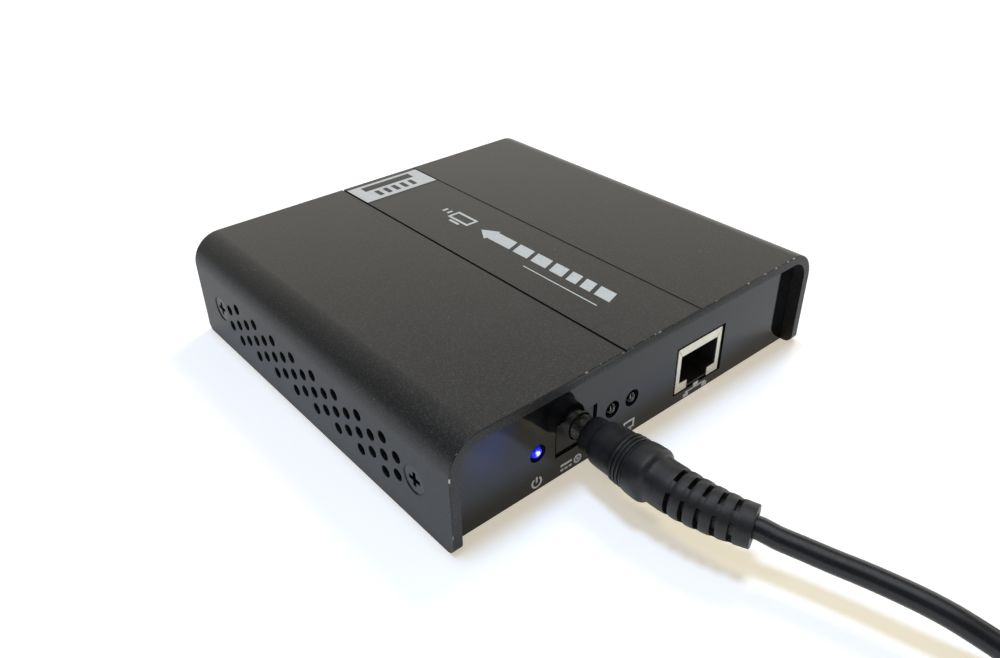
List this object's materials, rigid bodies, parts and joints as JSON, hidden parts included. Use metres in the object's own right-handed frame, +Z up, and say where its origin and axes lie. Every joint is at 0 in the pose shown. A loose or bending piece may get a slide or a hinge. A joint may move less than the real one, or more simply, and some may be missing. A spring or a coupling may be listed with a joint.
{
  "type": "hdmi extender receiver box with power lead",
  "caption": "Low dark metal box with round upper edges and side vents, a power jack, network socket and lamps in front, a picture socket behind, and a plug-in power lead.",
  "frame": {"origin": "centre of the case's footprint, at its underside", "axes": "+Z up, +X to the right across the front, -Y out of the face with the power jack"},
  "size_m": [0.114, 0.261, 0.0251],
  "materials": {
    "anodised_cover": "satin anodised",
    "black_screw": "black finish",
    "silver_label": "silver foil label",
    "black_tray": "satin black",
    "gloss_film": "glossy black",
    "bright_metal": "tin plated",
    "spacer_brass": "plain",
    "board_green": "solder mask",
    "black_plastic": "moulded",
    "gold_contact": "gold plated",
    "blue_lens": "lit blue",
    "clear_lens": "clear",
    "chip_black": "moulded",
    "sink_black": "black anodised",
    "can_metal": "plain",
    "ferrite": "ferrite",
    "small_ceramic": "ceramic",
    "barrel_metal": "nickel plated",
    "plug_black": "moulded",
    "cord_black": "satin jacket",
    "white_plastic": "moulded"
  },
  "bodies": {
    "housing": {"top_cover": "anodised_cover", "cover_screws": "black_screw", "top_label": "silver_label", "base_tray": "black_tray", "front_film": "gloss_film", "rear_film": "gloss_film", "board_spacers": "spacer_brass", "board_screws": "bright_metal", "circuit_board": "board_green", "jack_body": "black_plastic", "jack_pin": "bright_metal", "jack_spring": "bright_metal", "net_shield": "bright_metal", "net_insert": "black_plastic", "net_contacts": "gold_contact", "power_lamp": "blue_lens", "status_lamps": "clear_lens", "lamp_holders": "black_plastic", "lamp_legs": "bright_metal", "picture_shell": "bright_metal", "picture_tongue": "black_plastic", "picture_contacts": "gold_contact", "receiver_chip": "chip_black", "heatsink": "sink_black", "network_chip": "chip_black", "network_transformer": "chip_black", "power_coils": "ferrite", "capacitors": "can_metal", "capacitor_bases": "black_plastic", "crystals": "bright_metal", "regulator": "chip_black", "memory_chip": "chip_black", "small_parts": "small_ceramic"},
    "power_lead": {"plug_barrel": "barrel_metal", "plug_insulator": "black_plastic", "plug_contact": "gold_contact", "plug_grip": "plug_black", "power_cord": "cord_black", "power_cord_coil": "cord_black", "cord_tie": "black_plastic", "usb_shell": "bright_metal", "usb_insert": "white_plastic", "usb_contacts": "gold_contact", "usb_grip": "plug_black"}
  },
  "joints": [
    {"name": "plug_pull", "type": "slide", "parent": "housing", "child": "power_lead", "axis": [0, -1, 0], "range_m": [0, 0.012]}
  ]
}
